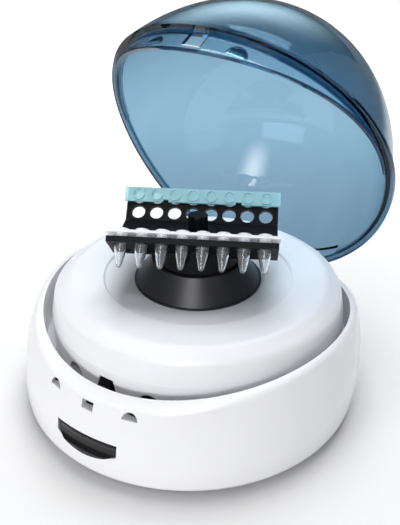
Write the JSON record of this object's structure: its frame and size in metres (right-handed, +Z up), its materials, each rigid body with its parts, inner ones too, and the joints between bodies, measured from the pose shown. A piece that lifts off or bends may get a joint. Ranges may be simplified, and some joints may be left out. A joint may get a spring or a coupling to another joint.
{
  "type": "strip-tube mini centrifuge",
  "caption": "Round white bench mini centrifuge with an open hinged blue dome, a black strip-tube rotor and a front release push.",
  "frame": {"origin": "on the bench top, under the rotor's axis", "axes": "+Z up along the rotor's axis, the release push at the front on -Y, +X to the right as seen from the front"},
  "size_m": [0.1658, 0.2028, 0.1787],
  "materials": {
    "white_plastic": "smooth glossy moulded ABS",
    "grey_plastic": "fine textured moulded ABS",
    "black_rubber": "soft matt rubber",
    "black_plastic": "satin black moulding",
    "gloss_black_plastic": "polished black moulding",
    "zinc_steel": "zinc plated",
    "bright_steel": "ground bright",
    "magnet": "sintered ferrite",
    "bronze": "sintered bronze",
    "lamination": "stacked laminations",
    "aluminium_hub": "turned",
    "clear_plastic": "clear polypropylene",
    "frosted_plastic": "frosted polypropylene",
    "cyan_plastic": "pale cyan clear plastic",
    "blue_clear_plastic": "clear blue polycarbonate",
    "board": "coated circuit board"
  },
  "bodies": {
    "base": {"base_housing": "white_plastic", "top_cover": "white_plastic", "bottom_plate": "grey_plastic", "rubber_feet": "black_rubber", "motor_cone": "black_plastic", "motor_bracket": "zinc_steel", "motor_can": "zinc_steel", "motor_endcap": "black_plastic", "magnet_ring": "magnet", "upper_bushing": "bronze", "lower_bushing": "bronze", "hinge_bracket": "white_plastic", "hinge_pin": "bright_steel", "return_spring": "bright_steel", "power_inlet": "black_plastic", "inlet_nut": "zinc_steel", "switch_frame": "black_plastic", "control_board": "board", "housing_screws": "zinc_steel", "board_screws": "zinc_steel", "bracket_screws": "zinc_steel", "motor_screws": "zinc_steel", "hinge_screws": "zinc_steel"},
    "lid": {"lid_dome": "blue_clear_plastic"},
    "rotor": {"motor_shaft": "bright_steel", "motor_armature": "lamination", "drive_hub": "aluminium_hub", "strip_rotor": "black_plastic", "hub_knob": "black_plastic", "tube_strip_front": "clear_plastic", "tube_strip_rear": "clear_plastic", "cap_strip_front": "frosted_plastic", "cap_strip_rear": "cyan_plastic"},
    "release": {"release_button": "gloss_black_plastic", "latch_slide": "black_plastic"},
    "rocker": {"rocker_key": "black_plastic"}
  },
  "joints": [
    {"name": "lid_hinge", "type": "hinge", "parent": "base", "child": "lid", "pos_m": [0, 0.0668, 0.0443], "axis": [1, 0, 0], "range_deg": [0, 64]},
    {"name": "rotor_spin", "type": "hinge", "parent": "base", "child": "rotor", "pos_m": [0, 0, 0.0773], "axis": [0, 0, 1], "continuous": true},
    {"name": "release_press", "type": "slide", "parent": "base", "child": "release", "axis": [0, 1, 0], "range_m": [0, 0.0025], "stiffness_N_per_m": 400, "deforming": ["return_spring"]},
    {"name": "rocker_tilt", "type": "hinge", "parent": "base", "child": "rocker", "pos_m": [0.0085, 0.0721, 0.0165], "axis": [-1, 0, 0], "range_deg": [0, 18]}
  ]
}
